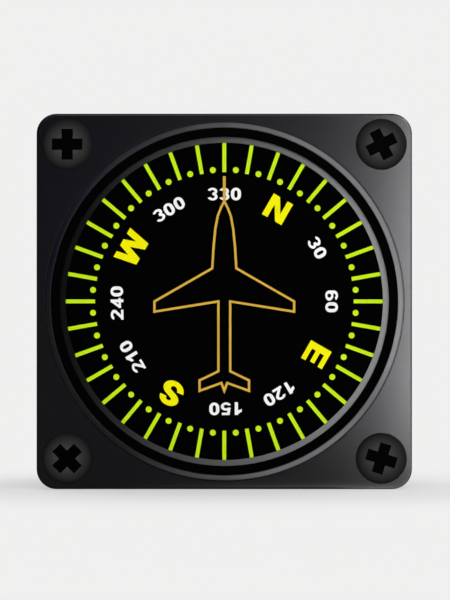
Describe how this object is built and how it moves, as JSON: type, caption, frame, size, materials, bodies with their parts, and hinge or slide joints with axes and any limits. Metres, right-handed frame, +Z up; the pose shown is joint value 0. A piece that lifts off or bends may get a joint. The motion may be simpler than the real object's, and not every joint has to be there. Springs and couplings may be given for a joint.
{
  "type": "aircraft compass",
  "caption": "Panel-mounted vertical-card magnetic compass: a magnet rotor turns the numbered dial through bevel gears behind a glass with an aeroplane mark.",
  "frame": {"origin": "centre of the four mounting screws on the plane of the flange's rear face, which lies on the panel", "axes": "+Y into the panel, away from the pilot; +Z up; +X to the pilot's right; the dial faces -Y"},
  "size_m": [0.0826, 0.0631, 0.0826],
  "materials": {
    "case_black": "satin black anodised",
    "ring_grey": "dark grey anodised",
    "black_rubber": "matt",
    "lens_glass": "clear, polished",
    "orange_ink": "screen-printed ink",
    "screw_black": "non-magnetic, blackened",
    "screw_dark": "non-magnetic, chemically darkened",
    "frame_brass": "machined",
    "bearing_bronze": "bored and burnished",
    "spindle_steel": "non-magnetic stainless, ground",
    "ruby_jewel": "polished synthetic ruby",
    "copper": "turned copper",
    "dial_black": "matt black painted",
    "luminous_paint": "lime luminous paint",
    "white_paint": "white painted figures",
    "yellow_paint": "yellow painted letters",
    "bare_aluminium": "turned",
    "magnet_alloy": "ground alnico"
  },
  "bodies": {
    "case": {"front_flange": "case_black", "bezel_ring": "ring_grey", "lens_gasket": "black_rubber", "lens_glass": "lens_glass", "dial_mask": "ring_grey", "aeroplane_mark": "orange_ink", "mounting_screws": "screw_black", "case_can": "case_black", "case_grub_screws": "screw_dark", "rear_gasket": "black_rubber", "rear_cover": "case_black", "cover_screws": "screw_dark", "movement_screws": "screw_dark", "rear_standoffs": "frame_brass", "rear_plate": "frame_brass", "pillars": "frame_brass", "front_plate": "frame_brass", "front_plate_screws": "screw_dark", "dial_bearing_front": "bearing_bronze", "dial_bearing_rear": "bearing_bronze", "upper_bridge": "frame_brass", "lower_bridge": "frame_brass", "bridge_screws": "screw_dark", "upper_jewel_screw": "spindle_steel", "lower_jewel_screw": "spindle_steel", "jewel_lock_nuts": "frame_brass", "pivot_jewels": "ruby_jewel", "damping_cup": "copper", "damping_cup_screws": "screw_dark", "compensator_plate": "frame_brass", "compensator_pillars": "frame_brass", "compensator_screws": "screw_dark"},
    "card": {"dial_card": "dial_black", "dial_ticks": "luminous_paint", "dial_dots": "luminous_paint", "dial_hub": "bare_aluminium", "dial_arbor": "spindle_steel", "dial_gear": "frame_brass"},
    "rotor": {"rotor_staff": "spindle_steel", "rotor_gear": "frame_brass", "magnet_carrier": "bare_aluminium", "rotor_magnets": "magnet_alloy"},
    "ns_driver": {"ns_adjuster": "frame_brass", "ns_driver_gear": "frame_brass", "ns_driver_magnet": "magnet_alloy"},
    "ns_follower": {"ns_follower_gear": "frame_brass", "ns_follower_magnet": "magnet_alloy"},
    "ew_driver": {"ew_adjuster": "frame_brass", "ew_driver_gear": "frame_brass", "ew_driver_magnet": "magnet_alloy"},
    "ew_follower": {"ew_follower_gear": "frame_brass", "ew_follower_magnet": "magnet_alloy"}
  },
  "joints": [
    {"name": "card_spin", "type": "hinge", "parent": "case", "child": "card", "pos_m": [0, 0, 0], "axis": [0, -1, 0], "continuous": true},
    {"name": "rotor_spin", "type": "hinge", "parent": "case", "child": "rotor", "pos_m": [0, 0.02471, 0], "axis": [0, 0, 1], "continuous": true},
    {"name": "ns_adjust", "type": "hinge", "parent": "case", "child": "ns_driver", "pos_m": [-0.008, 0, 0.02715], "axis": [0, 1, 0], "continuous": true},
    {"name": "ns_follow", "type": "hinge", "parent": "case", "child": "ns_follower", "pos_m": [0.008, 0, 0.02715], "axis": [0, 1, 0], "continuous": true},
    {"name": "ew_adjust", "type": "hinge", "parent": "case", "child": "ew_driver", "pos_m": [0.008, 0, 0.02715], "axis": [0, 1, 0], "continuous": true},
    {"name": "ew_follow", "type": "hinge", "parent": "case", "child": "ew_follower", "pos_m": [-0.008, 0, 0.02715], "axis": [0, 1, 0], "continuous": true}
  ],
  "couplings": [
    {"joint": "rotor_spin", "follows": "card_spin", "ratio": 1},
    {"joint": "ns_follow", "follows": "ns_adjust", "ratio": -1},
    {"joint": "ew_follow", "follows": "ew_adjust", "ratio": -1}
  ]
}
